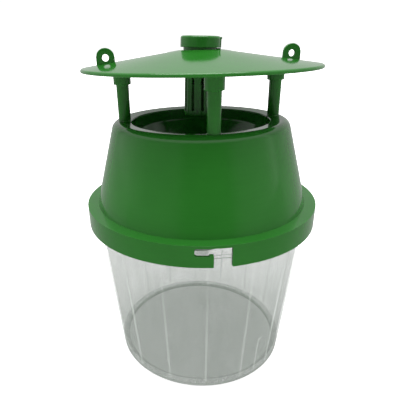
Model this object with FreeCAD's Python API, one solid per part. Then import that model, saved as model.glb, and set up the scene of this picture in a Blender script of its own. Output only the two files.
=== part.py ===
"""Bucket wasp trap: clear bucket, twist-on funnel head, roof on four posts, lure cage with a hinged cap.

Millimetres. Z is the trap's axis and points up, z = 0 is the plane that the bucket stands on.
The front post stands on -Y, the two hanging lugs on -X and +X.
Azimuths are in degrees from -Y, counter-clockwise seen from above, so +X is at 90.
"""
import FreeCAD, Part
import os
from math import atan2, cos, hypot, pi, radians, sin, tan

os.makedirs("parts", exist_ok=True)

# ---- bucket ----
BASE_R = 63.4            # outside radius at the floor
WALL_DRAFT = 0.0943      # growth of the radius per millimetre of height
WALL = 1.3
FLOOR = 1.6
UNDERSIDE_Z = 4.0         # the floor is raised on a foot ring
FOOT_RING = 4.4
BASE_EDGE = 1.6          # rounding of the outer edge under the wall
STEP_Z = 109.9           # the wall steps out here to fill the collar
RIM_R = 77.3             # bead round the rim
RIM_TOP = 118.7
RIB_COUNT = 16
RIB_FIRST = -4.9         # azimuth of the rib nearest the front
RIB_WIDTH = 1.4
RIB_HEIGHT = 0.35
RIB_FOOT, RIB_TOP = 5.0, 105.0

# ---- bayonet ----
LOCKS = 3
PEG_AZ = -7.75           # middle of the peg beside the front post
PEG_WIDTH = 6.6
PEG_BOTTOM = 115.0
PEG_TOP = 118.2
PEG_R = 79.7
SLOT_CLOSED_AZ = -10.8   # blind end of the level channel
TOOTH_AZ = (-4.9, -3.1)
TOOTH_HEIGHT = 0.9
ENTRANCE_AZ = (-3.1, 4.5)
CHANNEL_BOTTOM = 113.9
CHANNEL_TOP = 119.1

# ---- collar, cone and funnel ----
COLLAR_R = 80.0
COLLAR_WALL = 2.2
COLLAR_BOTTOM = 107.1
COLLAR_TOP = 120.8
CONE_FOOT_R = 72.7
CONE_DRAFT = 0.268       # loss of radius per millimetre of height
SHOULDER_R = 5.5
CREST_Z = 176.2          # where the cone and the top band would meet without the shoulder
TOP_SLOPE = 0.13         # the top band falls towards the mouth
HEAD_WALL = 1.8
MOUTH_R = 46.0
LIP_Z = 172.8            # the funnel's own wall starts under the lip
BAND_Z = 166.8           # foot of the upright band below the lip
BAND_R = 45.3
THROAT_R = 17.0
THROAT_Z = 89.0
TUBE_END_Z = 83.0
FUNNEL_WALL = 1.6

# ---- posts and sockets ----
POST_CIRCLE = 50.27
POST_FOOT_R = 3.95
POST_HEAD_R = 4.1
POST_TOP = 209.4
SOCKET_R = 5.55
SOCKET_BORE = 4.35
SOCKET_BOTTOM = 198.4

# ---- roof ----
ROOF_R = 75.3
ROOF_APEX = 219.8
ROOF_SLOPE = 0.1465
ROOF_THICK = 2.0
SEAT_R = 13.6            # flat ring round the cage's mouth
LUG_AT = 59.5
LUG_WIDTH = 11.5
LUG_THICK = 2.5
LUG_HOLE_R = 2.1
LUG_HOLE_Z = 214.5

# ---- lure cage and cap ----
CAGE_TOP_R = 9.5
CAGE_FOOT_R = 10.6
CAGE_WALL = 1.3
CAGE_FLOOR_Z = 178.6
NECK_R = 10.6            # collar of the cage above the roof
NECK_TOP = 221.0
CAGE_BARS = 10
SLIT_WIDTH = 1.7
SLIT_LOW, SLIT_HIGH = 181.4, 205.0
LURE_R, LURE_LENGTH = 5.5, 18.0
CAP_R = 12.5
CAP_BORE = 10.9
CAP_BOTTOM = 218.65
CAP_TOP = 225.25
CAP_WALL = 1.6
CAP_AJAR = 2.3           # the strap's spring holds the resting cap this many degrees open
STRAP_WIDTH = 6.0
LEAF_PROUD = 0.25        # the strap's upper leaf lies on the cap's side
BEAD_R = 0.6             # rounded upper edge of that leaf
BEAD_Z = 224.2
HINGE_R = 12.6           # the cap folds about a line under its +X side
HINGE_Z = 218.55

AXIS = FreeCAD.Vector(0, 0, 1)
ORIGIN = FreeCAD.Vector(0, 0, 0)
FAR = 300.0


def save(name, shape):
    """Write one named sub-part."""
    shape = shape.removeSplitter()
    assert shape.isValid() and shape.Volume > 0, name
    shape.exportStep("parts/%s.step" % name)
    print("%-18s %d solid(s) %10.1f mm3" % (name, len(shape.Solids), shape.Volume))


def outline(corners):
    """Closed face in the XZ plane through (radius, height[, fillet]) corners."""
    count = len(corners)
    edges, last = [], None
    first = None
    for i, corner in enumerate(corners):
        here = FreeCAD.Vector(corner[0], 0, corner[1])
        fillet = corner[2] if len(corner) > 2 else 0.0
        before = FreeCAD.Vector(corners[i - 1][0], 0, corners[i - 1][1])
        after = FreeCAD.Vector(corners[(i + 1) % count][0], 0, corners[(i + 1) % count][1])
        if fillet:
            to_before = (before - here).normalize()
            to_after = (after - here).normalize()
            half = to_before.getAngle(to_after) / 2
            start = here + to_before * (fillet / tan(half))
            end = here + to_after * (fillet / tan(half))
            bisector = (to_before + to_after).normalize()
            middle = here + bisector * (fillet / sin(half) - fillet)
            arc = Part.Arc(start, middle, end).toShape()
        else:
            start = end = here
            arc = None
        if last is None:
            first = start
        else:
            edges.append(Part.LineSegment(last, start).toShape())
        if arc:
            edges.append(arc)
        last = end
    edges.append(Part.LineSegment(last, first).toShape())
    return Part.Face(Part.Wire(edges))


def turned(corners):
    """Solid of revolution about Z."""
    return outline(corners).revolve(ORIGIN, AXIS, 360)


def sector(inner, outer, bottom, top, az_from, az_to):
    """Piece of a ring between two azimuths."""
    face = outline([(inner, bottom), (outer, bottom), (outer, top), (inner, top)])
    face.rotate(ORIGIN, AXIS, az_from - 90)
    return face.revolve(ORIGIN, AXIS, az_to - az_from)


def at(radius, azimuth, height=0.0):
    """Point at a radius and azimuth."""
    turn = radians(azimuth - 90)
    return FreeCAD.Vector(radius * cos(turn), radius * sin(turn), height)


def turned_copies(shape, count):
    """The shape repeated round the axis."""
    copies = []
    for i in range(count):
        copy = shape.copy()
        copy.rotate(ORIGIN, AXIS, 360.0 * i / count)
        copies.append(copy)
    return copies


def wall_r(height):
    """Outside radius of the bucket's wall."""
    return BASE_R + WALL_DRAFT * height


def cone_r(height):
    """Outside radius of the cone."""
    return CONE_FOOT_R - CONE_DRAFT * (height - COLLAR_TOP)


def roof_z(radius):
    """Height of the roof's upper face."""
    return ROOF_APEX - ROOF_SLOPE * radius


# ---- bucket: drafted wall, floor raised on a foot ring, stepped rim ----
def bucket_shell():
    foot_in, floor_top = BASE_R - FOOT_RING, UNDERSIDE_Z + FLOOR
    outside = [(0, UNDERSIDE_Z), (foot_in, UNDERSIDE_Z), (foot_in, 0), (BASE_R - 0.1, 0, BASE_EDGE),
               (wall_r(STEP_Z), STEP_Z, 0.8), (RIM_R - 0.9, STEP_Z + 0.7), (RIM_R - 0.9, RIM_TOP - 4.5),
               (RIM_R, RIM_TOP - 4.0), (RIM_R, RIM_TOP, 0.6)]
    inside = [(RIM_R - 2.2, RIM_TOP, 0.6), (RIM_R - 2.4, STEP_Z + 1.8, 0.8),
              (wall_r(STEP_Z) - WALL, STEP_Z + 1.0, 0.8), (wall_r(floor_top) - WALL, floor_top, 1.5),
              (0, floor_top)]
    return turned(outside + inside)


def bucket_ribs(shell):
    """Slim upright stiffening ribs that stand proud of the wall."""
    blank = turned([(wall_r(RIB_FOOT) - WALL / 2, RIB_FOOT), (wall_r(RIB_FOOT) + RIB_HEIGHT, RIB_FOOT),
                    (wall_r(RIB_TOP) + RIB_HEIGHT, RIB_TOP), (wall_r(RIB_TOP) - WALL / 2, RIB_TOP)])
    rib = Part.makeBox(RIB_WIDTH, 60, FAR, FreeCAD.Vector(-RIB_WIDTH / 2, -100, 0))
    rib.rotate(ORIGIN, AXIS, RIB_FIRST)
    ribs = [r.common(blank).cut(shell) for r in turned_copies(rib, RIB_COUNT)]
    return Part.makeCompound(ribs)


def locking_pegs():
    half = PEG_WIDTH / RIM_R / 2 * 180 / pi
    peg = sector(RIM_R, PEG_R, PEG_BOTTOM, PEG_TOP, PEG_AZ - half, PEG_AZ + half)
    return Part.makeCompound(turned_copies(peg, LOCKS))


# ---- head: collar with bayonet slots, cone, funnel ----
def collar_ring():
    ring = turned([(COLLAR_R - COLLAR_WALL, COLLAR_BOTTOM), (COLLAR_R, COLLAR_BOTTOM, 0.4),
                   (COLLAR_R, COLLAR_TOP, 1.6), (CONE_FOOT_R, COLLAR_TOP), (CONE_FOOT_R, CHANNEL_TOP),
                   (COLLAR_R - COLLAR_WALL, CHANNEL_TOP)])
    inner, outer = COLLAR_R - COLLAR_WALL - 0.01, COLLAR_R + 2
    channel = sector(inner, outer, CHANNEL_BOTTOM, CHANNEL_TOP, SLOT_CLOSED_AZ, TOOTH_AZ[0])
    ends = [e for e in channel.Edges if is_blind_end(e)]
    channel = channel.makeFillet(1.2, ends)
    over_tooth = sector(inner, outer, CHANNEL_BOTTOM + TOOTH_HEIGHT, CHANNEL_TOP, *TOOTH_AZ)
    entrance = sector(inner, outer, COLLAR_BOTTOM - 1, CHANNEL_TOP, *ENTRANCE_AZ)
    slot = channel.fuse([over_tooth, entrance])
    return ring.cut(Part.makeCompound(turned_copies(slot, LOCKS)))


def is_blind_end(edge):
    """True for the channel's radial edges at its closed end."""
    if len(edge.Vertexes) != 2 or abs(edge.Vertexes[0].Z - edge.Vertexes[1].Z) > 0.01:
        return False
    for vertex in edge.Vertexes:
        azimuth = atan2(vertex.Y, vertex.X) * 180 / pi + 90
        if abs(azimuth - SLOT_CLOSED_AZ) > 0.01:
            return False
    return True


def top_band_z(radius, crest_r):
    """Height of the band that the posts stand on."""
    return CREST_Z - TOP_SLOPE * (crest_r - radius)


def cone_skirt():
    corner_r = cone_r(CREST_Z)
    mouth_z = top_band_z(MOUTH_R, corner_r)
    under = HEAD_WALL * hypot(1, TOP_SLOPE)
    inside_r = HEAD_WALL * hypot(1, CONE_DRAFT)
    return turned([(CONE_FOOT_R, CHANNEL_TOP), (CONE_FOOT_R, COLLAR_TOP), (corner_r, CREST_Z, SHOULDER_R),
                   (MOUTH_R, mouth_z, 0.9), (MOUTH_R, LIP_Z), (MOUTH_R + FUNNEL_WALL, LIP_Z),
                   (MOUTH_R + FUNNEL_WALL, top_band_z(MOUTH_R + FUNNEL_WALL, corner_r) - under),
                   (corner_r - inside_r, CREST_Z - under, SHOULDER_R - HEAD_WALL),
                   (CONE_FOOT_R - inside_r, COLLAR_TOP), (CONE_FOOT_R - inside_r, CHANNEL_TOP)])


def entry_funnel():
    slope = (BAND_R - THROAT_R) / (BAND_Z - THROAT_Z)
    wall = FUNNEL_WALL * hypot(1, slope)
    return turned([(MOUTH_R, LIP_Z), (BAND_R, BAND_Z, 6.0), (THROAT_R, THROAT_Z, 3.0),
                   (THROAT_R, TUBE_END_Z), (THROAT_R + FUNNEL_WALL, TUBE_END_Z),
                   (THROAT_R + FUNNEL_WALL, THROAT_Z, 3.0), (BAND_R + wall, BAND_Z, 6.0),
                   (MOUTH_R + FUNNEL_WALL, LIP_Z)])


def post(azimuth, below):
    """Round post that is trimmed to the sloping band under it."""
    foot_z = top_band_z(POST_CIRCLE - POST_FOOT_R, cone_r(CREST_Z)) - 0.4
    rod = Part.makeCone(POST_FOOT_R, POST_HEAD_R, POST_TOP - foot_z, at(POST_CIRCLE, azimuth, foot_z))
    rims = [e for e in rod.Edges if abs(e.BoundBox.ZMin - POST_TOP) < 0.01 and e.Closed]
    return rod.makeChamfer(0.5, rims).cut(below)


# ---- roof with sockets, lugs and the lure cage ----
def roof_lid():
    seat_z = roof_z(SEAT_R)
    return turned([(CAGE_TOP_R, seat_z), (SEAT_R, seat_z), (ROOF_R, roof_z(ROOF_R), 0.6),
                   (ROOF_R, roof_z(ROOF_R) - ROOF_THICK, 0.4), (SEAT_R, seat_z - ROOF_THICK),
                   (CAGE_TOP_R, seat_z - ROOF_THICK)])


def socket(azimuth, above):
    """Tube under the roof that a post's head pushes into."""
    height = ROOF_APEX - SOCKET_BOTTOM
    tube = Part.makeCylinder(SOCKET_R, height, at(POST_CIRCLE, azimuth, SOCKET_BOTTOM))
    rims = [e for e in tube.Edges if abs(e.BoundBox.ZMax - SOCKET_BOTTOM) < 0.01 and e.Closed]
    tube = tube.makeFillet(0.5, rims)
    bore = Part.makeCylinder(SOCKET_BORE, height, at(POST_CIRCLE, azimuth, SOCKET_BOTTOM))
    return tube.cut(bore).cut(above)


def hanging_lug(side, below):
    """Round-headed ear with a hole across it; its plate holds the trap's axis."""
    radius = LUG_WIDTH / 2
    centre = FreeCAD.Vector(side * LUG_AT, -LUG_THICK / 2, LUG_HOLE_Z)
    across = FreeCAD.Vector(0, 1, 0)
    head = Part.makeCylinder(radius, LUG_THICK, centre, across)
    foot = Part.makeBox(LUG_WIDTH, LUG_THICK, 12, centre - FreeCAD.Vector(radius, 0, 12))
    hole = Part.makeCylinder(LUG_HOLE_R, LUG_THICK, centre, across)
    return head.fuse(foot).removeSplitter().cut(hole).cut(below)


def cage_r(height):
    """Outside radius of the cage under the roof: it widens downwards."""
    soffit = roof_z(SEAT_R) - ROOF_THICK
    return CAGE_TOP_R + (CAGE_FOOT_R - CAGE_TOP_R) * (soffit - height) / (soffit - CAGE_FLOOR_Z)


def lure_cage():
    seat_z = roof_z(SEAT_R)
    soffit = seat_z - ROOF_THICK
    inside = CAGE_FLOOR_Z + 1.4
    cage = turned([(0, CAGE_FLOOR_Z), (CAGE_FOOT_R, CAGE_FLOOR_Z, 0.6), (CAGE_TOP_R, soffit),
                   (CAGE_TOP_R, seat_z), (NECK_R, seat_z), (NECK_R, NECK_TOP, 0.4),
                   (CAGE_TOP_R - CAGE_WALL, NECK_TOP), (CAGE_TOP_R - CAGE_WALL, soffit),
                   (cage_r(inside) - CAGE_WALL, inside), (0, inside)])
    slit = Part.makeBox(SLIT_WIDTH, 20, SLIT_HIGH - SLIT_LOW, FreeCAD.Vector(-SLIT_WIDTH / 2, -22, SLIT_LOW))
    return cage.cut(Part.makeCompound(turned_copies(slit, CAGE_BARS)))


def lure_plug():
    """Block of bait that stands on the cage's floor."""
    plug = Part.makeCylinder(LURE_R, LURE_LENGTH, FreeCAD.Vector(0, 0, CAGE_FLOOR_Z + 1.4))
    return plug.makeFillet(0.6, [e for e in plug.Edges if e.Closed])


# ---- cap on its strap hinge ----
def cap_strap():
    """Short web that stands on the roof's seat under the cap's +X side."""
    seat_z = roof_z(SEAT_R)
    web = Part.makeBox(HINGE_R - CAGE_TOP_R, STRAP_WIDTH, HINGE_Z - 0.05 - seat_z,
                       FreeCAD.Vector(CAGE_TOP_R, -STRAP_WIDTH / 2, seat_z))
    return web.cut(Part.makeCylinder(NECK_R, FAR))


def cage_cap():
    """Cup over the cage's neck with the strap's upper leaf on its side, a little open."""
    cap = turned([(0, CAP_TOP), (CAP_R, CAP_TOP, 0.8), (CAP_R, CAP_BOTTOM), (CAP_BORE, CAP_BOTTOM),
                  (CAP_BORE, CAP_TOP - CAP_WALL), (0, CAP_TOP - CAP_WALL)])
    across = FreeCAD.Vector(0, 1, 0)
    leaf = Part.makeBox(CAP_R - CAP_BORE + LEAF_PROUD - 0.3, STRAP_WIDTH, BEAD_Z - CAP_BOTTOM,
                        FreeCAD.Vector(CAP_BORE + 0.3, -STRAP_WIDTH / 2, CAP_BOTTOM))
    bead = Part.makeCylinder(BEAD_R, STRAP_WIDTH, FreeCAD.Vector(CAP_R, -STRAP_WIDTH / 2, BEAD_Z), across)
    cap = cap.fuse([leaf, bead])
    cap.rotate(FreeCAD.Vector(HINGE_R, 0, HINGE_Z), across, CAP_AJAR)
    return cap


def build():
    shell = bucket_shell()
    save("bucket_shell", shell)
    save("bucket_ribs", bucket_ribs(shell))
    save("locking_pegs", locking_pegs())

    skirt = cone_skirt()
    save("collar_ring", collar_ring())
    save("cone_skirt", skirt)
    save("entry_funnel", entry_funnel())

    sides = {"front": 0, "right": 90, "back": 180, "left": 270}
    for side, azimuth in sides.items():
        save("post_" + side, post(azimuth, skirt))

    below_roof = turned([(0, 0), (FAR, 0), (FAR, roof_z(FAR)), (0, roof_z(0))])
    above_soffit = turned([(0, roof_z(0) - ROOF_THICK), (FAR, roof_z(FAR) - ROOF_THICK),
                           (FAR, FAR), (0, FAR)])
    save("roof_lid", roof_lid())
    for side, azimuth in sides.items():
        save("socket_" + side, socket(azimuth, above_soffit))
    save("hanging_lug_left", hanging_lug(-1, below_roof))
    save("hanging_lug_right", hanging_lug(1, below_roof))
    save("lure_cage", lure_cage())
    save("lure_plug", lure_plug())

    save("cap_strap", cap_strap())
    save("cage_cap", cage_cap())


build()
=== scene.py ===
from math import atan2, cos, hypot, pi, radians, sin, tan

import bmesh
import bpy
from mathutils import Matrix, Vector


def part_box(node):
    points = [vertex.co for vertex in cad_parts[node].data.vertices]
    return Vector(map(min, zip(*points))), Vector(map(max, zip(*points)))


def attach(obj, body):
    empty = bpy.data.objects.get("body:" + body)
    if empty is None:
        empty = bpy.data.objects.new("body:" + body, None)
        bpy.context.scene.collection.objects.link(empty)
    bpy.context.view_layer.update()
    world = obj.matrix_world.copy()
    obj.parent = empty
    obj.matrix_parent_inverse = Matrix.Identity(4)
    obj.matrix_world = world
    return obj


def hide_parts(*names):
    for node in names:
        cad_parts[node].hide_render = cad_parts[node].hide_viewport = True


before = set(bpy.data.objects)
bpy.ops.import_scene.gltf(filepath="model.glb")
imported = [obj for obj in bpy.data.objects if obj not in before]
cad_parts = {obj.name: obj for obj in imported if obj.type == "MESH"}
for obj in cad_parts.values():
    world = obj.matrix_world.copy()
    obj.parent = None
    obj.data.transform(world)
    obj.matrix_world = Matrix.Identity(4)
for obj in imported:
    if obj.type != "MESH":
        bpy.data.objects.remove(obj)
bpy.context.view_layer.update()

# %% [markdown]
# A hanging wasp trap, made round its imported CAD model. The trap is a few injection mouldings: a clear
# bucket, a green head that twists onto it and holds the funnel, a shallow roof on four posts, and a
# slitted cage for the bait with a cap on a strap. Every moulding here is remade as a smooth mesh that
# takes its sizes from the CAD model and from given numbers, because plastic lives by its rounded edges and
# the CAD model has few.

MM = 0.001
SIDES = {"front": 0, "right": 90, "back": 180, "left": 270}  # azimuths of the posts, from -Y

# %% [markdown]
# The camera stands a little above the roof and looks down, so the roof shows as a thin lens and the collar
# as a wide ellipse. The lens is moderately wide, which is why the front post looks thicker than the side
# ones. A small sideways shift keeps the trap upright although it stands left of the middle.

# %% Camera
EYE = Vector((-18.24, -263.63, 221.64)) * MM
LOOK_DOWN = radians(23.279)
ROLL = radians(-1.425)
TURN = radians(-4.779)   # the front post stands a little to the right of the line of sight
lens = bpy.data.cameras.new("lens")
lens.sensor_width = 36
lens.lens = 33.136
lens.shift_x = 0.0828
lens.clip_start = 0.01
camera = bpy.data.objects.new("camera", lens)
bpy.context.collection.objects.link(camera)
camera.matrix_world = (Matrix.Rotation(TURN, 4, "Z") @ Matrix.Translation(EYE)
                       @ Matrix.Rotation(pi / 2 - LOOK_DOWN, 4, "X") @ Matrix.Rotation(ROLL, 4, "Z"))
bpy.context.scene.camera = camera
print("camera at", [round(c, 3) for c in camera.matrix_world.translation])

# %% [markdown]
# Shader maths reads best as plain sums, so a small class wraps a socket and turns +, -, * and ** into Math
# nodes. Every other node comes from one method, which sets the node up and then fills its sockets.


# %% A socket that can be added and multiplied
class Wire:
    """One output socket of a node tree."""

    def __init__(self, tree, socket):
        self.tree, self.socket = tree, socket

    def _math(self, operation, first, second):
        node = self.tree.nodes.new("ShaderNodeMath")
        node.operation = operation
        for socket, value in zip(node.inputs, (first, second)):
            plug(self.tree, socket, value)
        return Wire(self.tree, node.outputs[0])

    def __add__(self, other):
        return self._math("ADD", self, other)

    def __sub__(self, other):
        return self._math("SUBTRACT", self, other)

    def __rsub__(self, other):
        return self._math("SUBTRACT", other, self)

    def __mul__(self, other):
        return self._math("MULTIPLY", self, other)

    def __pow__(self, other):
        return self._math("POWER", self, other)

    __radd__, __rmul__ = __add__, __mul__


def plug(tree, socket, value):
    """Link a wire to a socket, or set the socket's own value."""
    if isinstance(value, Wire):
        tree.links.new(value.socket, socket)
    else:
        socket.default_value = value


def fill_ramp(ramp, stops):
    """Give a colour ramp its stops, as {position: grey level}."""
    while len(ramp.elements) > 1:
        ramp.elements.remove(ramp.elements[-1])
    for i, (position, level) in enumerate(stops.items()):
        stop = ramp.elements[0] if i == 0 else ramp.elements.new(position)
        stop.position = position
        stop.color = (level, level, level, 1)


class Recipe:
    """A node tree that is written as calls."""

    def __init__(self, tree):
        self.tree = tree
        tree.nodes.clear()

    def node(self, kind, settings=None, out=0, **sockets):
        """Make a node, set it up, fill its sockets; the wire of one of its outputs comes back."""
        made = self.tree.nodes.new("ShaderNode" + kind)
        for name, value in (settings or {}).items():
            if name == "stops":
                fill_ramp(made.color_ramp, value)
            else:
                setattr(made, name, value)
        for name, value in sockets.items():
            key = int(name[1:]) if name[1:].isdigit() else name.replace("_", " ")
            plug(self.tree, made.inputs[key], value)
        return Wire(self.tree, made.outputs[out]) if len(made.outputs) else None

    def colour_mix(self, amount, low, high, blend="MIX"):
        """Mix two colours by an amount."""
        settings = {"data_type": "RGBA", "blend_type": blend}
        return self.node("Mix", settings, out=2, i0=amount, i6=low, i7=high)

    def noise(self, place, scale, detail=2.0, roughness=0.5):
        return self.node("TexNoise", Vector=place, Scale=scale, Detail=detail, Roughness=roughness)

    def ramp(self, value, low, high, to_low=0.0, to_high=1.0):
        """Straight remap of a value, clamped at both ends."""
        return self.node("MapRange", i0=value, i1=low, i2=high, i3=to_low, i4=to_high)


def recipe_for(name):
    """New material and its recipe."""
    material = bpy.data.materials.new(name)
    material.use_nodes = True
    return material, Recipe(material.node_tree)


# %% [markdown]
# The head and the roof are glossy polypropylene, coloured right through. A moulding of this kind is never
# one flat green: the melt leaves faint clouds and flow lines, the polish of the tool varies, the skin has a
# very fine orange peel, and handling leaves light scuffs. The clouds go into the colour, the polish and the
# scuffs into the roughness, and the orange peel into the bump.

# %% Green moulding
GREEN = (0.022, 0.172, 0.018, 1)
GREEN_DEEP = (0.018, 0.150, 0.015, 1)


def green_moulding():
    material, r = recipe_for("green_polypropylene")
    place = r.node("TexCoord", out=3)
    clouds = r.noise(place, 28.0, 3.0)
    drawn = r.node("Mapping", Vector=place, Scale=(9.0, 9.0, 140.0))
    flow = r.noise(drawn, 6.0, 4.0, 0.6)
    tone = r.ramp(clouds + flow * 0.5, 0.45, 1.05)
    colour = r.colour_mix(tone, GREEN_DEEP, GREEN)
    polish = r.ramp(r.noise(place, 90.0, 4.0), 0.3, 0.7, 0.08, 0.13)
    scratched = r.node("Mapping", Vector=place, Scale=(500.0, 35.0, 90.0), Rotation=(0.4, 0.9, 0.3))
    scuffs = r.ramp(r.noise(scratched, 4.0, 2.0), 0.66, 0.76, 0.0, 0.08)
    peel = r.noise(place, 1400.0, 2.0)
    ripple = r.noise(place, 70.0, 1.0)
    bumped = r.node("Bump", Strength=0.12, Distance=0.00012, Height=peel * 0.35 + ripple * 2.0)
    shader = r.node("BsdfPrincipled", Base_Color=colour, Roughness=polish + scuffs, IOR=1.46, Normal=bumped)
    r.node("OutputMaterial", Surface=shader)
    return material


GREEN_PLASTIC = green_moulding()

# %% [markdown]
# The bucket is natural polypropylene: clear enough to see the floor through the wall, but milky, so each
# wall dims what is behind it and adds a little white of its own. A thin wall hardly bends light, so the
# shader lets most of it straight through and shows the rest as a dull skin. At a slant the skin turns more
# solid and shinier, which is what draws the bucket's outline. A faint painted glow, strongest on the ribs,
# lifts the plastic where the lamp and the tent leave it dim; it is painted light, not a lamp. The thick foot
# is the milkiest part, and the ribs thin out towards the top.

# %% Clear moulding
MILK = (0.26, 0.31, 0.265, 1)
RIB_MILK = (0.86, 0.90, 0.86, 1)


def milky_moulding(name, tint, film, slant, painted_glow, by_height):
    material, r = recipe_for(name)
    place = r.node("TexCoord", out=3)
    drawn = r.node("Mapping", Vector=place, Scale=(60.0, 60.0, 6.0))
    streaks = r.ramp(r.noise(drawn, 3.0, 3.0), 0.3, 0.7, -0.02, 0.02)
    haze = r.ramp(r.noise(place, 35.0, 3.0), 0.35, 0.7, -0.015, 0.015)
    grazing = r.node("LayerWeight", out=1, Blend=0.5)
    height = r.node("SeparateXYZ", Vector=place, out=2)
    alpha = (grazing ** 3 * slant + streaks + haze + film) * r.ramp(height, *by_height)
    polish = r.ramp(r.noise(place, 120.0, 3.0), 0.3, 0.7, 0.12, 0.2)
    bumped = r.node("Bump", Strength=0.1, Distance=0.0001, Height=r.noise(place, 900.0, 2.0))
    # the emission is a painted glow: painted light that brightens the plastic, most of all the ribs
    shader = r.node("BsdfPrincipled", Base_Color=tint, Roughness=polish, IOR=1.49, Alpha=alpha,
                    Normal=bumped, Emission_Color=(0.95, 1.0, 0.95, 1), Emission_Strength=painted_glow)
    r.node("OutputMaterial", Surface=shader)
    return material


# both clear finishes carry a painted glow (the fifth argument); the ribs' glow is far stronger
CLEAR_PLASTIC = milky_moulding("clear_polypropylene", MILK, 0.3, 0.1, 0.08, (0.003, 0.0038, 1.9, 1.0))
RIB_PLASTIC = milky_moulding("clear_rib", RIB_MILK, 0.1, 0.05, 0.6, (0.045, 0.085, 1.0, 0.3))

# %% [markdown]
# The bait is a pressed cake of attractant. It is dull, crumbly and slightly uneven in colour.


# %% Bait
def bait_cake():
    material, r = recipe_for("pressed_bait")
    place = r.node("TexCoord", out=3)
    crumbs = r.noise(place, 900.0, 4.0, 0.7)
    colour = r.colour_mix(r.ramp(crumbs, 0.3, 0.7), (0.03, 0.10, 0.025, 1), (0.05, 0.15, 0.04, 1))
    bumped = r.node("Bump", Strength=0.6, Distance=0.0003, Height=crumbs)
    shader = r.node("BsdfPrincipled", Base_Color=colour, Roughness=0.85, Normal=bumped)
    r.node("OutputMaterial", Surface=shader)
    return material


BAIT = bait_cake()

# %% [markdown]
# Most pieces are turned round the trap's axis. A flat outline is drawn beside the axis, its corners are
# rounded with a vertex bevel, long straight runs are divided so that their shading stays even, and the
# outline is spun into a closed shell.


# %% Turning on the axis
def corner_bevel(bm, corners, segments):
    """Round outline corners; corners is a list of (vertex, radius)."""
    for radius in sorted({r for v, r in corners}):
        here = [v for v, r in corners if r == radius]
        for vertex in here:
            first, second = [e.other_vert(vertex).co - vertex.co for e in vertex.link_edges]
            reach = radius / tan(first.angle(second) / 2)
            bmesh.ops.bevel(bm, geom=[vertex], offset=reach, offset_type="OFFSET", profile=0.5,
                            segments=segments, affect="VERTICES", material=-1, clamp_overlap=False)


def turned(outline, steps=192, run=4.0, segments=7):
    """Closed shell from (radius, height[, fillet]) corners in millimetres."""
    bm = bmesh.new()
    verts = [bm.verts.new((c[0] * MM, 0, c[1] * MM)) for c in outline]
    face = bm.faces.new(verts)
    corners = [(v, c[2] * MM) for v, c in zip(verts, outline) if len(c) > 2]
    corner_bevel(bm, corners, segments)
    bmesh.ops.delete(bm, geom=list(bm.faces), context="FACES_ONLY")
    on_axis = [e for e in bm.edges if max(abs(v.co.x) for v in e.verts) < 1e-7]
    bmesh.ops.delete(bm, geom=on_axis, context="EDGES")
    for edge in [e for e in bm.edges if e.calc_length() > run * MM * 1.5]:
        bmesh.ops.subdivide_edges(bm, edges=[edge], cuts=int(edge.calc_length() / (run * MM)))
    bmesh.ops.spin(bm, geom=list(bm.verts) + list(bm.edges), cent=(0, 0, 0), axis=(0, 0, 1), dvec=(0, 0, 0),
                   angle=2 * pi, steps=steps, use_merge=True)
    bmesh.ops.remove_doubles(bm, verts=list(bm.verts), dist=1e-7)
    bmesh.ops.recalc_face_normals(bm, faces=list(bm.faces))
    return bm


def moved(bm, *matrices):
    """Apply matrices, first one first."""
    for matrix in matrices:
        bmesh.ops.transform(bm, matrix=matrix, verts=list(bm.verts))
    return bm


def to_azimuth(azimuth):
    """Turn from -Y to an azimuth."""
    return Matrix.Rotation(radians(azimuth), 4, "Z")


def joined(parts):
    """Several bmeshes as one."""
    whole = bmesh.new()
    for part in parts:
        scrap = bpy.data.meshes.new("scrap")
        part.to_mesh(scrap)
        part.free()
        whole.from_mesh(scrap)
        bpy.data.meshes.remove(scrap)
    return whole


# %% [markdown]
# A finished piece is one mesh at the origin. Edges that turn by more than a set angle are marked sharp and
# the rest is smooth; the Weighted Normal modifier then keeps broad faces flat right up to their rounded
# edges, as on a moulded surface. The piece rides on its body and stands for its CAD nodes.

# %% Finishing a piece
SHARP = radians(38)


def piece(name, bm, material, body, nodes):
    for face in bm.faces:
        face.smooth = True
    for edge in bm.edges:
        edge.smooth = len(edge.link_faces) == 2 and edge.calc_face_angle(0) < SHARP
    mesh = bpy.data.meshes.new(name)
    bm.to_mesh(mesh)
    bm.free()
    mesh.materials.append(material)
    made = bpy.data.objects.new(name, mesh)
    bpy.context.collection.objects.link(made)
    weighted = made.modifiers.new("weighted", "WEIGHTED_NORMAL")
    weighted.keep_sharp = True
    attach(made, body)
    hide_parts(*nodes)
    low, high = [[round(c / MM, 1) for c in corner] for corner in (bounds_of(mesh))]
    print(f"{name:18s} {len(mesh.polygons):6d} faces, from {low} to {high} mm")
    return made


def bounds_of(mesh):
    """Lowest and highest corner of a mesh."""
    axes = list(zip(*[v.co for v in mesh.vertices]))
    return [min(a) for a in axes], [max(a) for a in axes]


def low_high(node):
    """A CAD node's box in millimetres."""
    return [Vector(corner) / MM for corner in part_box(node)]


# %% [markdown]
# The bucket is turned from one outline: a floor raised on a foot ring, a drafted wall, and a rim that steps
# out to fill the collar and ends in a rolled bead. The bead and the step show through the collar's slots.

# %% Bucket
bucket_high = low_high("bucket_shell")[1]
RIM_R = bucket_high.x
RIM_Z = bucket_high.z
BASE_R = 63.4
WALL_DRAFT = 0.0943   # growth of the radius per millimetre of height
BASE_EDGE = 1.6
WALL = 1.3
FLOOR_UNDER, FLOOR_TOP = 4.0, 5.6
STEP_Z = RIM_Z - 8.8
STEP_R = BASE_R + WALL_DRAFT * STEP_Z
FOOT_R = BASE_R - 4.4

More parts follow.
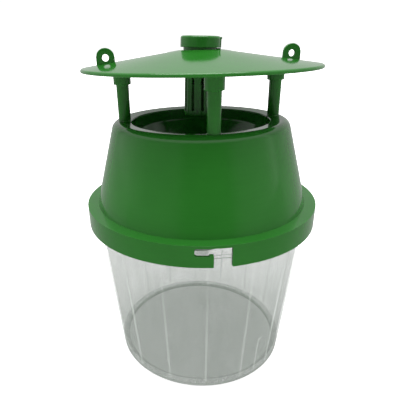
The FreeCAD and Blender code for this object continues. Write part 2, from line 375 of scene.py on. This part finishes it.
bucket = turned([
    (0, FLOOR_UNDER), (FOOT_R, FLOOR_UNDER, 0.4), (FOOT_R + 0.1, 0, 0.3), (BASE_R - 0.1, 0, BASE_EDGE),
    (STEP_R, STEP_Z, 0.8),
    (RIM_R - 0.9, STEP_Z + 0.7, 0.3), (RIM_R - 0.9, RIM_Z - 4.5, 0.2), (RIM_R, RIM_Z - 4.0, 0.3),
    (RIM_R, RIM_Z, 0.7), (RIM_R - 2.2, RIM_Z, 0.7), (RIM_R - 2.4, STEP_Z + 1.8, 0.8),
    (STEP_R - WALL, STEP_Z + 1.0, 0.8), (BASE_R + WALL_DRAFT * FLOOR_TOP - WALL, FLOOR_TOP, 1.5),
    (0, FLOOR_TOP)])
piece("bucket_wall", bucket, CLEAR_PLASTIC, "bucket", ["bucket_shell"])

# %% [markdown]
# Slim ribs run up the outside of the wall. Each is a small bar with rounded edges, leaned over to lie on
# the drafted wall. They show lighter than the wall, so they get a milkier finish and a stronger painted
# glow.
# One more bar, short and hooked at its top, stands low on the wall as a bright streak in the same finish.

# %% Ribs
RIB_COUNT = 16
RIB_FIRST = -4.9
RIB_WIDTH = 1.4
RIB_PROUD = 0.35
RIB_FOOT, RIB_TOP = 5.0, 105.0


def bar(size, edge, segments=3):
    """Box with rounded edges, centred at the origin; sizes in millimetres."""
    bm = bmesh.new()
    bmesh.ops.create_cube(bm, size=1)
    bmesh.ops.scale(bm, vec=Vector(size) * MM, verts=list(bm.verts))
    bmesh.ops.bevel(bm, geom=list(bm.edges), offset=edge * MM, offset_type="OFFSET", profile=0.5,
                    segments=segments, affect="EDGES", material=-1)
    return bm


def rib(azimuth):
    length = RIB_TOP - RIB_FOOT
    lean = atan2(WALL_DRAFT, 1)
    middle = (RIB_FOOT + RIB_TOP) / 2
    radius = BASE_R + WALL_DRAFT * middle + RIB_PROUD - 0.4
    return moved(bar((RIB_WIDTH, 0.8, length), 0.3), Matrix.Rotation(lean, 4, "X"),
                 Matrix.Translation(Vector((0, -radius, middle)) * MM), to_azimuth(azimuth))


ribs = joined(rib(RIB_FIRST + 360 / RIB_COUNT * i) for i in range(RIB_COUNT))
# a short bright bar low on the wall, hooked at its top; its brightness comes from the ribs' painted glow
STREAK_AZ, STREAK_FOOT, STREAK_TOP = 28.5, 4.0, 35.0
streak_lean = Matrix.Rotation(atan2(WALL_DRAFT, 1), 4, "X")


def streak_run(height, side, length, width, tilt):
    """Bar on the wall for the bright streak."""
    radius = BASE_R + WALL_DRAFT * height + 0.02
    return moved(bar((width, 0.3, length), 0.12), Matrix.Rotation(tilt, 4, "Y"), streak_lean,
                 Matrix.Translation(Vector((side, -radius, height)) * MM), to_azimuth(STREAK_AZ))


bright_streak = [streak_run((STREAK_FOOT + STREAK_TOP) / 2, 0, STREAK_TOP - STREAK_FOOT, 1.1, 0),
        streak_run(STREAK_TOP - 0.6, 1.4, 3.4, 1.0, radians(78))]
piece("rib_set", joined([ribs] + bright_streak), RIB_PLASTIC, "bucket", ["bucket_ribs"])

# %% [markdown]
# Three pegs stand out from the bead. Each lies in the blind end of a slot in the collar and locks the head.

# %% Pegs
LOCKS = 3
PEG_AZ = -7.75
PEG_WIDTH = 6.6
peg_low, peg_high = low_high("locking_pegs")
PEG_BOTTOM, PEG_TOP = peg_low.z, peg_high.z
PEG_R = 79.7


def peg(azimuth):
    depth = PEG_R - RIM_R + 0.6
    centre = Vector((0, -(PEG_R - depth / 2), (PEG_BOTTOM + PEG_TOP) / 2)) * MM
    return moved(bar((PEG_WIDTH, depth, PEG_TOP - PEG_BOTTOM), 0.35), Matrix.Translation(centre),
                 to_azimuth(azimuth))


pegs = joined(peg(PEG_AZ + 360 / LOCKS * i) for i in range(LOCKS))
piece("peg_set", pegs, CLEAR_PLASTIC, "bucket", ["locking_pegs"])

# %% [markdown]
# The collar's wall has three L-shaped slots, open at the bottom. It is drawn flat, as if unrolled: one
# outline for a third of the wall, with the slot's corners rounded. Cuts every few millimetres let it bend
# round the axis, solidify gives it its thickness, and a small bevel softens every edge.

# %% Wrapping a flat wall round the axis
def wrapped(outline, radius_at, share, copies, wall, edge, columns=3.0):
    """Wall from a flat outline of (arc, height[, fillet]) corners, share degrees wide, repeated.

    Arcs are millimetres along the wall at radius_at(0); the wall grows inwards.
    """
    sheets = []
    base = radius_at(0)
    for i in range(copies):
        bm = bmesh.new()
        verts = [bm.verts.new((c[0] * MM, 0, c[1] * MM)) for c in outline]
        bm.faces.new(verts)
        corners = [(v, c[2] * MM) for v, c in zip(verts, outline) if len(c) > 2]
        corner_bevel(bm, corners, 5)
        width = radians(share) * base
        left = min(c[0] for c in outline)
        cuts = max(2, round(width / columns))
        for cut in range(1, cuts):
            bmesh.ops.bisect_plane(bm, geom=list(bm.verts) + list(bm.edges) + list(bm.faces), dist=1e-7,
                                   plane_co=((left + width * cut / cuts) * MM, 0, 0), plane_no=(1, 0, 0))
        for vert in bm.verts:
            turn = vert.co.x / (base * MM) + radians(360 / copies * i)
            radius = radius_at(vert.co.z / MM) * MM
            vert.co = Vector((radius * sin(turn), -radius * cos(turn), vert.co.z))
        sheets.append(bm)
    whole = joined(sheets)
    bmesh.ops.remove_doubles(whole, verts=list(whole.verts), dist=2e-6)
    bmesh.ops.recalc_face_normals(whole, faces=list(whole.faces))
    outward = sum(f.normal.dot(Vector((f.calc_center_median().x, f.calc_center_median().y, 0)))
                  for f in whole.faces)
    if outward < 0:
        bmesh.ops.reverse_faces(whole, faces=list(whole.faces))
    bmesh.ops.solidify(whole, geom=list(whole.faces), thickness=wall * MM)
    bmesh.ops.recalc_face_normals(whole, faces=list(whole.faces))
    rims = [e for e in whole.edges if len(e.link_faces) == 2 and e.calc_face_angle(0) > radians(60)]
    bmesh.ops.bevel(whole, geom=rims, offset=edge * MM, offset_type="OFFSET", profile=0.5, segments=3,
                    affect="EDGES", material=-1, clamp_overlap=True)
    return whole


# %% [markdown]
# The slot is an L: a mouth at the bottom lets the peg in, a level channel leads it to the left, and a small
# tooth holds it there. A witness mark of the mould stands on the lower edge beside the front slot.

# %% Collar
collar_low, collar_high = low_high("collar_ring")
COLLAR_R = collar_high.x
COLLAR_Z = collar_low.z
COLLAR_TOP = collar_high.z
COLLAR_WALL = 2.2
SHELF = 1.7
CHANNEL_RISE = 6.8
CHANNEL_Z = COLLAR_Z + CHANNEL_RISE
CHANNEL_TOP = COLLAR_TOP - SHELF
TOOTH = 0.9
CLOSED_AZ, TOOTH_AZ, MOUTH_AZ, MOUTH_END_AZ = -10.8, -4.9, -3.1, 4.5
THIRD = 360 / LOCKS


def along(azimuth):
    """Arc length from -Y along the collar."""
    return radians(azimuth) * COLLAR_R


wall_outline = [
    (along(-THIRD / 2), COLLAR_Z), (along(MOUTH_AZ), COLLAR_Z, 0.3),
    (along(MOUTH_AZ), CHANNEL_Z + TOOTH, 0.5),
    (along(TOOTH_AZ), CHANNEL_Z + TOOTH, 0.4), (along(TOOTH_AZ), CHANNEL_Z, 0.4),
    (along(CLOSED_AZ), CHANNEL_Z, 1.6), (along(CLOSED_AZ), CHANNEL_TOP, 1.2),
    (along(MOUTH_END_AZ), CHANNEL_TOP, 0.3), (along(MOUTH_END_AZ), COLLAR_Z, 0.3),
    (along(THIRD / 2), COLLAR_Z), (along(THIRD / 2), COLLAR_TOP), (along(-THIRD / 2), COLLAR_TOP)]
collar = wrapped(wall_outline, lambda z: COLLAR_R, THIRD, LOCKS, COLLAR_WALL, 0.35)
witness = moved(bar((0.6, 0.5, 2.6), 0.15),
                Matrix.Translation(Vector((0, -COLLAR_R + 0.25, COLLAR_Z + 1.6)) * MM), to_azimuth(-11.9))

cone_high = low_high("cone_skirt")[1]
CONE_FOOT_R = cone_high.x
shelf = turned([(CONE_FOOT_R - 0.6, CHANNEL_TOP), (COLLAR_R - COLLAR_WALL + 0.3, CHANNEL_TOP),
                (COLLAR_R - COLLAR_WALL + 0.3, COLLAR_TOP - 0.01), (CONE_FOOT_R - 0.6, COLLAR_TOP - 0.01)])
piece("collar", joined([collar, shelf, witness]), GREEN_PLASTIC, "funnel_head", ["collar_ring"])

# %% [markdown]
# The cone and the funnel are one shell. Outside, the cone leans in to a rounded shoulder; the band on top
# carries the posts; a soft lip turns down into the mouth, and the funnel runs down to a short tube that
# wasps drop out of and never find again from below.

# %% Cone and funnel
CONE_DRAFT = 0.268
CREST_Z = 176.2
TOP_SLOPE = 0.13
HEAD_WALL = 1.8
MOUTH_R = 46.0
FUNNEL_WALL = 1.6
THROAT_R = 17.0
THROAT_Z = 89.0
LIP_Z = 172.8
BAND_R, BAND_Z = 45.3, 166.8
TUBE_END = low_high("entry_funnel")[0].z
corner_r = CONE_FOOT_R - CONE_DRAFT * (CREST_Z - COLLAR_TOP)


def band_z(radius):
    """Height of the band that the posts stand on."""
    return CREST_Z - TOP_SLOPE * (corner_r - radius)


funnel_slope = (BAND_R - THROAT_R) / (BAND_Z - THROAT_Z)
funnel_skin = FUNNEL_WALL * hypot(1, funnel_slope)
cone_skin = HEAD_WALL * hypot(1, CONE_DRAFT)
top_skin = HEAD_WALL * hypot(1, TOP_SLOPE)
head = turned([
    (CONE_FOOT_R, CHANNEL_TOP), (CONE_FOOT_R, COLLAR_TOP, 0.2), (corner_r, CREST_Z, 5.5),
    (MOUTH_R, band_z(MOUTH_R), 0.9), (MOUTH_R - 0.15, LIP_Z, 1.0), (BAND_R, BAND_Z, 6.0),
    (THROAT_R, THROAT_Z, 3.0), (THROAT_R, TUBE_END, 0.7), (THROAT_R + FUNNEL_WALL, TUBE_END, 0.7),
    (THROAT_R + FUNNEL_WALL, THROAT_Z, 3.0), (BAND_R + funnel_skin, BAND_Z, 5.0),
    (MOUTH_R + FUNNEL_WALL, band_z(MOUTH_R) - top_skin, 0.5),
    (corner_r - cone_skin, CREST_Z - top_skin, 5.5 - HEAD_WALL), (CONE_FOOT_R - cone_skin, COLLAR_TOP, 0.2),
    (CONE_FOOT_R - cone_skin, CHANNEL_TOP)], steps=256, segments=10)
piece("cone_and_funnel", head, GREEN_PLASTIC, "funnel_head", ["cone_skirt", "entry_funnel"])

# %% [markdown]
# Four round posts stand on the band. A post swells slightly towards its head, and a small fillet runs it
# into the band at its foot.

# %% Posts
POST_CIRCLE = 50.27
POST_FOOT_R, POST_HEAD_R = 3.95, 4.1
POST_TOP = low_high("post_front")[1].z
foot_z = band_z(POST_CIRCLE)


def post(azimuth):
    rod = turned([(0, foot_z - 1.0), (POST_FOOT_R + 0.5, foot_z - 1.0), (POST_FOOT_R + 0.5, foot_z - 0.35),
                  (POST_FOOT_R, foot_z + 0.6, 0.9), (POST_HEAD_R, POST_TOP - 0.5, 0.2),
                  (POST_HEAD_R - 0.5, POST_TOP, 0.2), (0, POST_TOP)], steps=48)
    return moved(rod, Matrix.Translation((0, -POST_CIRCLE * MM, 0)), to_azimuth(azimuth))


for side, azimuth in SIDES.items():
    piece(side + "_post", post(azimuth), GREEN_PLASTIC, "funnel_head", ["post_" + side])

# %% [markdown]
# The roof is a thin shallow cone with a flat seat in the middle for the cage. Its rim is rounded over, and
# that edge is what catches the light all the way round.

# %% Roof
roof_high = low_high("roof_lid")[1]
ROOF_R = roof_high.x
ROOF_SLOPE = 0.1465
ROOF_THICK = 2.0
SEAT_R = 13.6
CAGE_R = 9.5
SEAT_Z = roof_high.z


def roof_z(radius):
    """Height of the roof's upper face."""
    return SEAT_Z - ROOF_SLOPE * (radius - SEAT_R)


roof = turned([(CAGE_R, SEAT_Z), (SEAT_R, SEAT_Z, 3.0), (ROOF_R, roof_z(ROOF_R), 1.2),
               (ROOF_R, roof_z(ROOF_R) - ROOF_THICK, 0.5), (SEAT_R, SEAT_Z - ROOF_THICK),
               (CAGE_R, SEAT_Z - ROOF_THICK)], steps=256)
piece("roof_cone", roof, GREEN_PLASTIC, "roof", ["roof_lid"])

# %% [markdown]
# Under the roof sit four sockets that push onto the posts. Each is a short tube with a rounded mouth; its
# top runs up into the roof, where the roof's own thickness hides it.

# %% Sockets
SOCKET_R, SOCKET_BORE = 5.55, 4.35
SOCKET_Z = low_high("socket_front")[0].z


def socket(azimuth):
    top = roof_z(POST_CIRCLE - SOCKET_R) - ROOF_THICK - 0.2
    tube = turned([(SOCKET_R, SOCKET_Z, 0.5), (SOCKET_R, top), (SOCKET_BORE, top),
                   (SOCKET_BORE, SOCKET_Z, 0.4)], steps=64)
    for vert in tube.verts:
        if vert.co.z > (SOCKET_Z + 2) * MM:
            drop = ROOF_SLOPE * (SOCKET_R * MM - vert.co.y)
            vert.co.z = min(vert.co.z, top * MM - drop + 0.2 * MM)
    return moved(tube, Matrix.Translation((0, -POST_CIRCLE * MM, 0)), to_azimuth(azimuth))


for side, azimuth in SIDES.items():
    piece(side + "_socket", socket(azimuth), GREEN_PLASTIC, "roof", ["socket_" + side])

# %% [markdown]
# Two ears on the roof take the hanging cord. An ear starts as a washer round its hole; the lower half of
# the washer's rim is then pulled out into straight legs that run down into the roof.

# %% Hanging lugs
lug_low, lug_high = low_high("hanging_lug_right")
LUG_WIDTH = lug_high.x - lug_low.x
LUG_THICK = lug_high.y - lug_low.y
LUG_AT = (lug_high.x + lug_low.x) / 2
LUG_HOLE_R = 2.1
LUG_HOLE_Z = lug_high.z - LUG_WIDTH / 2


def lug(side):
    half = LUG_WIDTH / 2
    reach = LUG_HOLE_Z - roof_z(LUG_AT + half) + 0.3
    bm = bmesh.new()
    ends = [bm.verts.new((LUG_HOLE_R * MM, y * MM / 2, 0)) for y in (-LUG_THICK, LUG_THICK)]
    ends += [bm.verts.new((half * MM, y * MM / 2, 0)) for y in (LUG_THICK, -LUG_THICK)]
    edges = [bm.edges.new((ends[i], ends[(i + 1) % 4])) for i in range(4)]
    bmesh.ops.spin(bm, geom=ends + edges, cent=(0, 0, 0), axis=(0, 1, 0), dvec=(0, 0, 0), angle=2 * pi,
                   steps=72, use_merge=True)
    for vert in bm.verts:
        if vert.co.z < -1e-6 and hypot(vert.co.x, vert.co.z) > half * MM * 0.9:
            stretch = min(half * MM / max(abs(vert.co.x), 1e-9), reach * MM / max(-vert.co.z, 1e-9))
            vert.co.x *= stretch
            vert.co.z *= stretch
    bmesh.ops.recalc_face_normals(bm, faces=list(bm.faces))
    rims = [e for e in bm.edges if e.calc_face_angle(0) > radians(60)]
    bmesh.ops.bevel(bm, geom=rims, offset=0.35 * MM, offset_type="OFFSET", profile=0.5, segments=3,
                    affect="EDGES", material=-1)
    return moved(bm, Matrix.Translation(Vector((side * LUG_AT, 0, LUG_HOLE_Z)) * MM))


for name, side in (("left", -1), ("right", 1)):
    piece(name + "_lug", lug(side), GREEN_PLASTIC, "roof", ["hanging_lug_" + name])

# %% [markdown]
# The cage hangs in the middle. It is a wall with tall slits between its bars, wrapped round the axis in the
# same way as the collar, with a floor and an open mouth that the cap closes.

# %% Lure cage
cage_low, cage_high = low_high("lure_cage")
CAGE_FOOT_R = 10.6
CAGE_WALL = 1.3
CAGE_FLOOR = cage_low.z
SOFFIT_Z = SEAT_Z - ROOF_THICK
BARS = 10
SLIT = 1.7
SLIT_LOW, SLIT_HIGH = 181.4, 205.0
NECK_R, NECK_BORE = 10.6, 8.2


def cage_r(height):
    """Outside radius of the cage: it widens downwards from the roof."""
    share = min(1.0, max(0.0, (SOFFIT_Z - height) / (SOFFIT_Z - CAGE_FLOOR)))
    return CAGE_R + (CAGE_FOOT_R - CAGE_R) * share


cage_arc = 2 * pi / BARS * cage_r(0)
slit_arc = SLIT / cage_r(190) * cage_r(0) / 2
bar_outline = [(0, CAGE_FLOOR), (cage_arc, CAGE_FLOOR), (cage_arc, SLIT_LOW),
               (cage_arc - slit_arc, SLIT_LOW, 0.6), (cage_arc - slit_arc, SLIT_HIGH, 0.6),
               (cage_arc, SLIT_HIGH), (cage_arc, SEAT_Z), (0, SEAT_Z), (0, SLIT_HIGH),
               (slit_arc, SLIT_HIGH, 0.6), (slit_arc, SLIT_LOW, 0.6), (0, SLIT_LOW)]
cage_wall = wrapped(bar_outline, cage_r, 360 / BARS, BARS, CAGE_WALL, 0.2, columns=1.1)
cage_floor = turned([(0, CAGE_FLOOR + 0.1), (CAGE_FOOT_R - 0.6, CAGE_FLOOR + 0.1, 0.3),
                     (CAGE_FOOT_R - 0.6, CAGE_FLOOR + 1.4), (0, CAGE_FLOOR + 1.4)], steps=64)
neck = turned([(NECK_BORE, SEAT_Z - 0.05), (NECK_R, SEAT_Z - 0.05), (NECK_R, cage_high.z, 0.4),
               (NECK_BORE, cage_high.z, 0.4)], steps=96)
piece("bait_cage", joined([cage_wall, cage_floor, neck]), GREEN_PLASTIC, "roof", ["lure_cage"])

# %% Bait in the cage
lure_low, lure_high = low_high("lure_plug")
cake = turned([(0, lure_low.z), (lure_high.x, lure_low.z, 0.6), (lure_high.x, lure_high.z, 0.8),
               (0, lure_high.z)], steps=48)
piece("bait_cake", cake, BAIT, "roof", ["lure_plug"])

# %% [markdown]
# The cap is a shallow cup with a rounded top edge, upside down over the cage's neck. Its strap has a leaf on
# the cap's side and a short web on the roof. The fold between them keeps the cap a touch ajar, so the cap is
# made shut and then turned a little about the fold.

# %% Cap and strap
CAP_R, CAP_BORE, CAP_WALL = 12.5, 10.9, 1.6
CAP_BOTTOM, CAP_TOP = 218.65, 225.25
HINGE_X, HINGE_Z = 12.6, 218.55
CAP_AJAR = 2.3
BEAD_Z, BEAD_R = CAP_TOP - 1.05, 0.6
STRAP_WIDTH = 6.0

cap = turned([(0, CAP_TOP), (CAP_R, CAP_TOP, 1.4), (CAP_R, CAP_BOTTOM, 0.35), (CAP_BORE, CAP_BOTTOM, 0.25),
              (CAP_BORE, CAP_TOP - CAP_WALL, 0.8), (0, CAP_TOP - CAP_WALL)], steps=128)
LEAF_THICK, LEAF_PROUD = 1.2, 0.25
leaf_size = (LEAF_THICK, STRAP_WIDTH, BEAD_Z - CAP_BOTTOM)
leaf_at = Vector((CAP_R + LEAF_PROUD - LEAF_THICK / 2, 0, (BEAD_Z + CAP_BOTTOM) / 2)) * MM
leaf = moved(bar(leaf_size, 0.2), Matrix.Translation(leaf_at))
bead = moved(bar((2 * BEAD_R, STRAP_WIDTH, 2 * BEAD_R), BEAD_R * 0.45, 5),
             Matrix.Translation(Vector((CAP_R, 0, BEAD_Z)) * MM))
fold = Vector((HINGE_X, 0, HINGE_Z)) * MM
ajar = Matrix.Translation(fold) @ Matrix.Rotation(radians(CAP_AJAR), 4, "Y") @ Matrix.Translation(-fold)
piece("cap", moved(joined([cap, leaf, bead]), ajar), GREEN_PLASTIC, "cap", ["cage_cap"])

strap_low, strap_high = low_high("cap_strap")
web_size = strap_high - strap_low
strap = moved(bar((web_size.x, STRAP_WIDTH, web_size.z), 0.15),
              Matrix.Translation((strap_high + strap_low) / 2 * MM))
piece("strap", strap, GREEN_PLASTIC, "roof", ["cap_strap"])

# %% [markdown]
# The trap stands on pale paper that runs into the background without a line. The paper glows a little, as if
# lit from below, so that it stays white under the trap. Rays that scatter or mirror off the trap see it
# darker than the lens does. That is a choice for the look: it keeps the fronts a deep green.

# %% Floor
def floor_paper():
    material, r = recipe_for("pale_paper")
    place = r.node("TexCoord", out=3)
    grain = r.noise(place, 220.0, 3.0)
    colour = r.colour_mix(grain, (0.88, 0.88, 0.88, 1), (0.91, 0.91, 0.91, 1))
    paper = r.node("BsdfPrincipled", Base_Color=colour, Roughness=0.9, Emission_Color=(1, 1, 1, 1),
                   Emission_Strength=0.5)
    dim = r.node("BsdfDiffuse", Color=(0.2, 0.2, 0.2, 1))
    ahead = r.ramp(r.node("SeparateXYZ", Vector=place, out=1), -0.14, 0.1, 1.0, 0.92)
    scattered, mirrored = r.node("LightPath", out=2), r.node("LightPath", out=3)
    shade = mirrored * ahead + scattered * 0.6
    r.node("OutputMaterial", Surface=r.node("MixShader", i0=shade, i1=paper, i2=dim))
    return material


paper = bmesh.new()
bmesh.ops.create_grid(paper, x_segments=1, y_segments=1, size=12)
paper_mesh = bpy.data.meshes.new("floor")
paper.to_mesh(paper_mesh)
paper.free()
paper_mesh.materials.append(floor_paper())
floor = bpy.data.objects.new("floor", paper_mesh)
bpy.context.collection.objects.link(floor)
floor.location.z = -0.0002

# %% [markdown]
# A light tent stands round the trap: bright side walls, a dark gap in front where the camera looks in, and a
# light roof. The lens itself sees plain white. One broad lamp overhead lights the roof, the collar's ledge
# and every rounded upper edge.

# %% Tent and lamp
SKY = 1.05
# brightness of the tent by compass direction, from straight behind the camera round to straight ahead
LEFT_WALL = {0.0: 0.07, 0.13: 0.10, 0.20: 0.26, 0.40: 0.38, 0.55: 0.65, 0.68: 0.7, 0.73: 0.45, 0.79: 0.6,
             1.0: 0.6}
RIGHT_WALL = {0.0: 0.07, 0.12: 0.10, 0.20: 0.34, 0.40: 0.5, 0.47: 0.8, 0.52: 0.5, 0.70: 0.6, 1.0: 0.6}

room = bpy.data.worlds.new("light_tent")
room.use_nodes = True
r = Recipe(room.node_tree)
towards = r.node("TexCoord", out=0)
east, north, up = [r.node("SeparateXYZ", Vector=towards, out=i) for i in range(3)]
compass = r.node("Math", {"operation": "ARCTAN2"}, i0=east, i1=north * -1.0) * (1 / pi)
left = r.node("ValToRGB", {"stops": LEFT_WALL}, i0=compass * -1.0)
right = r.node("ValToRGB", {"stops": RIGHT_WALL}, i0=compass)
on_right = r.ramp(compass, -0.001, 0.001)
walls = left * (1 - on_right) + right * on_right
roof_light = r.ramp(up, 0.4, 0.7)
tent = walls * (1 - roof_light) + roof_light * 1.1
seen = r.node("LightPath", out=0)
glow = seen * SKY + (1 - seen) * tent
r.node("OutputWorld", Surface=r.node("Background", Color=(1, 1, 1, 1), Strength=glow))
bpy.context.scene.world = room

overhead = bpy.data.lights.new("overhead", "SUN")
overhead.angle = radians(50)
overhead.energy = 2.9
sun = bpy.data.objects.new("overhead", overhead)
bpy.context.collection.objects.link(sun)
bpy.context.scene.view_settings.view_transform = "Standard"
